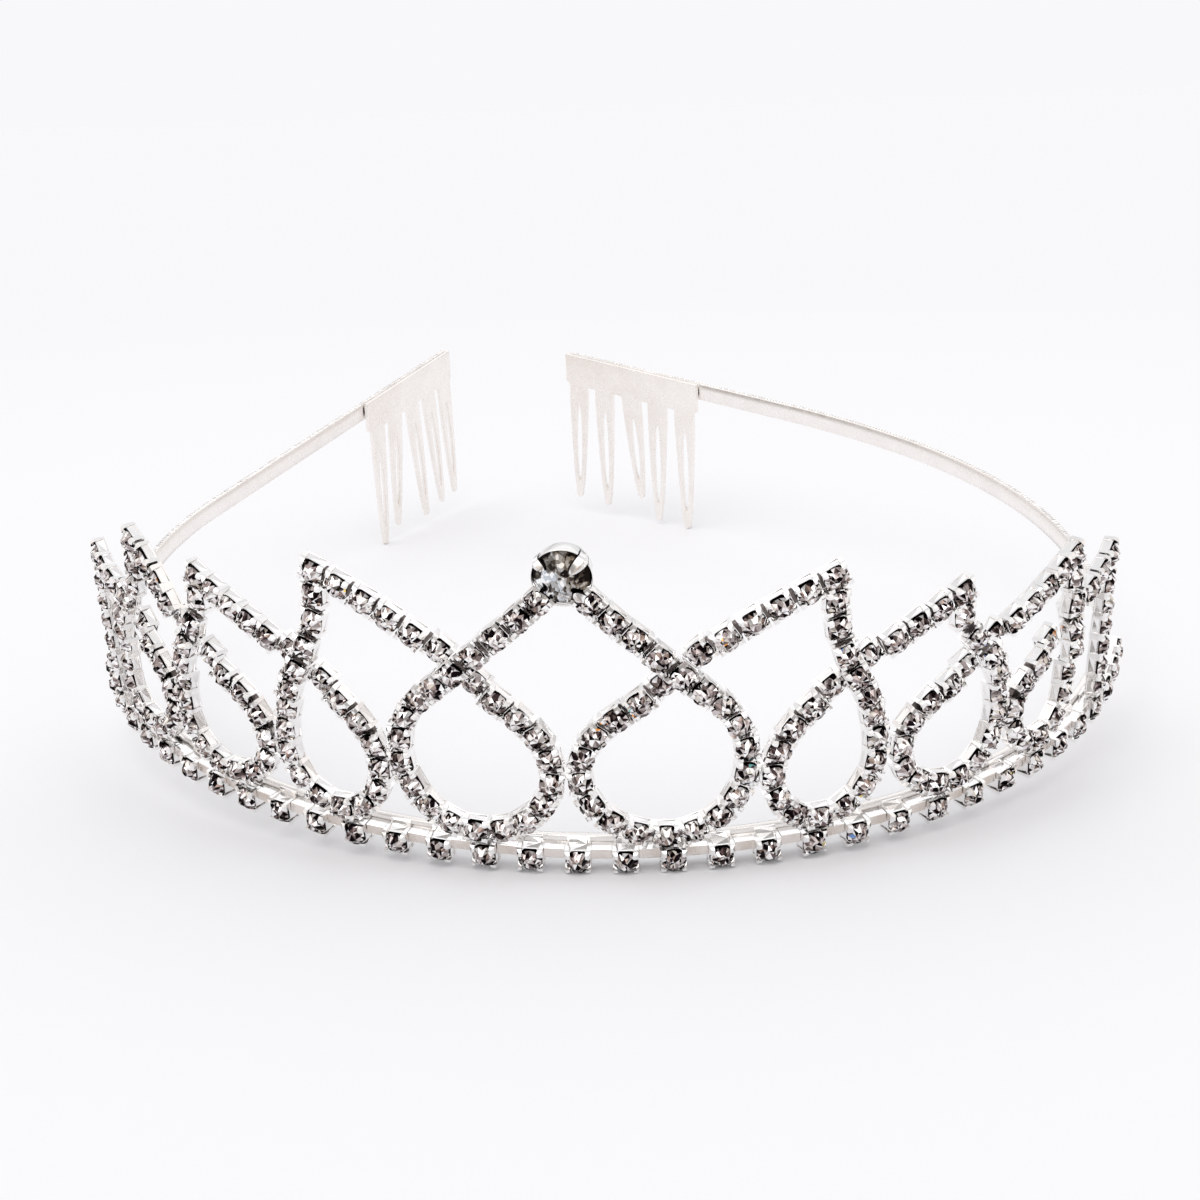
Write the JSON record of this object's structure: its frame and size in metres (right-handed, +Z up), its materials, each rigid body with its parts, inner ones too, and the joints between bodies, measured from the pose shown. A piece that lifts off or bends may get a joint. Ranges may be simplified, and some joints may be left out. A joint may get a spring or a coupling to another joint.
{
  "type": "rhinestone tiara",
  "caption": "Open metal headband with a row of stone cups, crossed loops of small stones rising to a round centre stone, and a slit comb behind each end",
  "frame": {"origin": "on the floor under the middle of the overall length and width, with the tiara resting as pictured on the front of the stone row and on the foremost tooth of each comb", "axes": "+Z up from the floor, -Y is the front that the centre stone faces, +Y the open back with the combs, -X the left side seen from the front"},
  "size_m": [0.1348, 0.176, 0.0381],
  "materials": {
    "band_metal": "polished silver plate, warm in the shadows",
    "row_stones": "silver cups holding cut glass stones",
    "loop_stones": "chain of small silver cups holding cut glass stones",
    "setting_metal": "polished silver plate",
    "centre_glass": "smoky cut glass with a foiled back",
    "comb_metal": "thin plated strip, slightly matt"
  },
  "bodies": {
    "root": {"headband": "band_metal", "stone_row": "row_stones", "loop_left_1": "loop_stones", "loop_left_2": "loop_stones", "loop_left_3": "loop_stones", "loop_left_4": "loop_stones", "loop_right_1": "loop_stones", "loop_right_2": "loop_stones", "loop_right_3": "loop_stones", "loop_right_4": "loop_stones", "drop_left": "loop_stones", "drop_right": "loop_stones", "centre_setting": "setting_metal", "centre_stone": "centre_glass", "comb_left": "comb_metal", "comb_right": "comb_metal"}
  },
  "joints": []
}
